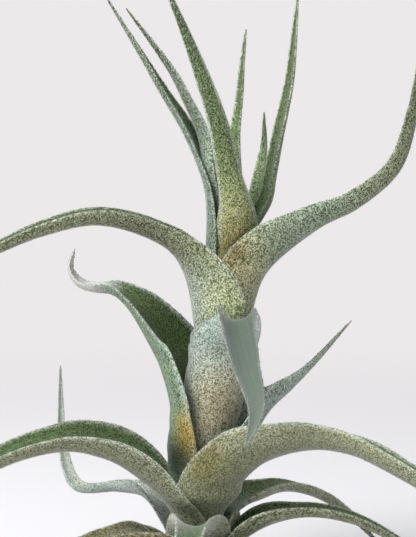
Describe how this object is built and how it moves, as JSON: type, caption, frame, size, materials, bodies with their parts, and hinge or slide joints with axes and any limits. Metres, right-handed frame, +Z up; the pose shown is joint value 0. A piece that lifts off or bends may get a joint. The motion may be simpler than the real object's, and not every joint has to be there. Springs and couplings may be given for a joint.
{
  "type": "air plant",
  "caption": "Rootless air plant with a leaning stem and channelled, scaly grey-green leaves; the upper ones arch and rise, the lower ones droop and prop it upright.",
  "frame": {"origin": "centre of the flat cut foot of the stem, on the surface the plant stands on", "axes": "+Z up along the foot of the stem, +X to the right and +Y away from the viewer in the picture's view"},
  "size_m": [0.1956, 0.1442, 0.1843],
  "materials": {
    "stem_skin": "dry, fibrous bark",
    "leaf_crown": "fresh green leaf under fine pale scales",
    "leaf_grey": "grey-green leaf, matt, speckled with pale scales",
    "leaf_silver": "silvery blue-green leaf, matt, dense pale scales",
    "leaf_old": "old leaf, matt, drying to straw brown towards the tip"
  },
  "bodies": {
    "root": {"stem": "stem_skin", "leaf_young": "leaf_crown", "leaf_back_upright": "leaf_crown", "leaf_left_rear": "leaf_grey", "leaf_right_upright": "leaf_crown", "leaf_front_upright": "leaf_grey", "leaf_left_upright": "leaf_grey", "leaf_right_arch": "leaf_grey", "leaf_left_arch": "leaf_grey", "leaf_back_arch": "leaf_grey", "leaf_front_arch": "leaf_silver", "leaf_left_back": "leaf_silver", "leaf_right_back": "leaf_silver", "leaf_right_low": "leaf_grey", "leaf_left_low": "leaf_grey", "leaf_low_right_rear": "leaf_grey", "leaf_low_left_rear": "leaf_silver", "leaf_low_front": "leaf_grey", "leaf_low_right": "leaf_grey", "leaf_low_left_front": "leaf_old", "leaf_low_rear": "leaf_old", "leaf_low_right_front": "leaf_old", "leaf_low_left": "leaf_old"}
  },
  "joints": []
}
